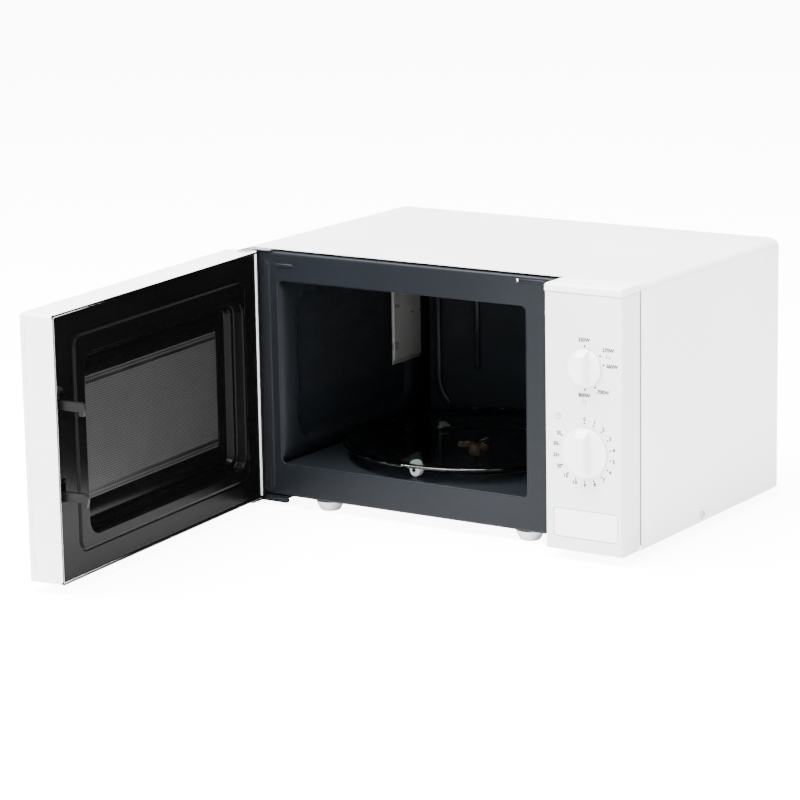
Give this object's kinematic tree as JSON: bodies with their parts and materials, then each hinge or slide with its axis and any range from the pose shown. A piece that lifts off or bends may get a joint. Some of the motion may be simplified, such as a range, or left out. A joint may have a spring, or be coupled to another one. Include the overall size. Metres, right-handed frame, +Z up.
{
  "type": "microwave oven",
  "caption": "Countertop microwave oven with a side-hinged door standing open, a glass turntable on a roller ring, two knobs and a door button, and its works inside.",
  "frame": {"origin": "under the middle of the whole oven with its door open, on the plane of its four feet", "axes": "+Z up; -Y towards the front, where the door and the knobs are; +X to the right as seen from the front"},
  "size_m": [0.4591, 0.6534, 0.26],
  "materials": {
    "white_enamel": "fine satin enamel",
    "dark_enamel": "satin enamel",
    "white_plastic": "fine-grained, half gloss",
    "knob_plastic": "fine-grained, half gloss",
    "black_gloss": "smooth, glossy",
    "black_plastic": "fine-grained",
    "galvanised": "zinc-plated sheet",
    "bright_steel": "plain steel",
    "grey_plastic": "moulded, matte",
    "cream_plastic": "moulded, matte",
    "winding_copper": "lacquered wire",
    "tray_glass": "clear soda glass, faintly green",
    "smoked_window": "smoked, glossy",
    "mica_sheet": "flaky mica board"
  },
  "bodies": {
    "oven": {"wrapper": "white_enamel", "front_plate": "dark_enamel", "cavity_floor": "dark_enamel", "cavity_left_wall": "dark_enamel", "cavity_right_wall": "dark_enamel", "cavity_ceiling": "dark_enamel", "cavity_rear_wall": "dark_enamel", "base_plate": "galvanised", "rear_plate": "galvanised", "mains_inlet_bush": "black_plastic", "foot_front_left": "grey_plastic", "foot_front_right": "grey_plastic", "foot_rear_left": "grey_plastic", "foot_rear_right": "grey_plastic", "side_screw": "bright_steel", "upper_hinge_bracket": "bright_steel", "lower_hinge_bracket": "dark_enamel", "turntable_motor": "galvanised", "control_panel_housing": "white_plastic", "control_fascia": "white_plastic", "timer_unit": "galvanised", "latch_board": "cream_plastic", "primary_switch": "black_plastic", "monitor_switch": "black_plastic", "secondary_switch": "black_plastic", "magnetron": "galvanised", "waveguide": "galvanised", "waveguide_cover": "mica_sheet", "hv_transformer_core": "bright_steel", "hv_transformer_windings": "winding_copper", "hv_capacitor": "galvanised", "hv_diode": "black_plastic", "noise_filter_board": "cream_plastic", "fan_shroud": "cream_plastic", "fan_motor": "galvanised", "cavity_lamp": "tray_glass"},
    "door": {"door_frame": "white_plastic", "door_front_plate": "white_plastic", "door_window": "smoked_window", "door_steel_frame": "bright_steel", "choke_cover": "black_gloss", "latch_spring": "bright_steel"},
    "hooks": {"latch_hooks": "black_plastic"},
    "button": {"release_button": "white_plastic", "button_spring": "bright_steel"},
    "lever": {"release_lever": "cream_plastic"},
    "power_control": {"power_knob": "knob_plastic", "power_shaft": "galvanised"},
    "timer_control": {"timer_knob": "knob_plastic", "timer_shaft": "galvanised"},
    "turntable": {"turntable_coupler": "cream_plastic", "glass_turntable": "tray_glass"},
    "ring": {"roller_ring": "black_plastic"},
    "roller_one": {"roller_1": "white_plastic"},
    "roller_two": {"roller_2": "white_plastic"},
    "roller_three": {"roller_3": "white_plastic"},
    "fan": {"fan_blade": "black_plastic"},
    "primary_button": {"primary_plunger": "cream_plastic"},
    "monitor_button": {"monitor_plunger": "cream_plastic"},
    "secondary_button": {"secondary_plunger": "cream_plastic"}
  },
  "joints": [
    {"name": "door_swing", "type": "hinge", "parent": "oven", "child": "door", "pos_m": [-0.20576, 0.02542, 0.129], "axis": [0, 0, 1], "range_deg": [-10, 85]},
    {"name": "hook_lift", "type": "slide", "parent": "door", "child": "hooks", "axis": [0, 0, 1], "range_m": [0, 0.0045], "deforming": ["latch_spring"]},
    {"name": "button_press", "type": "slide", "parent": "oven", "child": "button", "axis": [0, 1, 0], "range_m": [0, 0.0045], "stiffness_N_per_m": 300, "springref_m": -0.006, "deforming": ["button_spring"]},
    {"name": "release_lever_turn", "type": "hinge", "parent": "oven", "child": "lever", "pos_m": [0.13674, 0.04182, 0.0785], "axis": [1, 0, 0], "range_deg": [0, 13.3]},
    {"name": "power_dial", "type": "hinge", "parent": "oven", "child": "power_control", "pos_m": [0.18874, 0.00382, 0.1841], "axis": [0, 1, 0], "range_deg": [0, 180]},
    {"name": "timer_dial", "type": "hinge", "parent": "oven", "child": "timer_control", "pos_m": [0.18874, 0.00382, 0.1046], "axis": [0, 1, 0], "range_deg": [0, 300]},
    {"name": "turntable_spin", "type": "hinge", "parent": "oven", "child": "turntable", "pos_m": [-0.03551, 0.17812, 0.049], "axis": [0, 0, 1], "continuous": true},
    {"name": "ring_spin", "type": "hinge", "parent": "oven", "child": "ring", "pos_m": [-0.03551, 0.17812, 0.04355], "axis": [0, 0, 1], "continuous": true},
    {"name": "roller_one_spin", "type": "hinge", "parent": "ring", "child": "roller_one", "pos_m": [-0.04721, 0.08284, 0.04355], "axis": [-0.1219, -0.9925, 0], "continuous": true},
    {"name": "roller_two_spin", "type": "hinge", "parent": "ring", "child": "roller_two", "pos_m": [0.05286, 0.21563, 0.04355], "axis": [0.9205, 0.3907, 0], "continuous": true},
    {"name": "roller_three_spin", "type": "hinge", "parent": "ring", "child": "roller_three", "pos_m": [-0.11218, 0.23589, 0.04355], "axis": [-0.7986, 0.6018, 0], "continuous": true},
    {"name": "fan_spin", "type": "hinge", "parent": "oven", "child": "fan", "pos_m": [0.16774, 0.26382, 0.174], "axis": [0, 1, 0], "continuous": true},
    {"name": "primary_travel", "type": "slide", "parent": "oven", "child": "primary_button", "axis": [0, 1, 0], "range_m": [-0.0002, 0.0015]},
    {"name": "monitor_travel", "type": "slide", "parent": "oven", "child": "monitor_button", "axis": [0, 1, 0], "range_m": [-0.0002, 0.0015]},
    {"name": "secondary_travel", "type": "slide", "parent": "oven", "child": "secondary_button", "axis": [0, 1, 0], "range_m": [-0.0002, 0.0015]}
  ],
  "couplings": [
    {"joint": "hook_lift", "follows": "button_press", "ratio": 1},
    {"joint": "release_lever_turn", "follows": "button_press", "rad_per_m": 51.28},
    {"joint": "ring_spin", "follows": "turntable_spin", "ratio": 0.5},
    {"joint": "roller_one_spin", "follows": "turntable_spin", "ratio": -7.1111},
    {"joint": "roller_two_spin", "follows": "turntable_spin", "ratio": -7.1111},
    {"joint": "roller_three_spin", "follows": "turntable_spin", "ratio": -7.1111},
    {"joint": "primary_travel", "follows": "door_swing", "m_per_rad": 0.0010111},
    {"joint": "monitor_travel", "follows": "door_swing", "m_per_rad": 0.0010111},
    {"joint": "secondary_travel", "follows": "door_swing", "m_per_rad": 0.0010111}
  ]
}
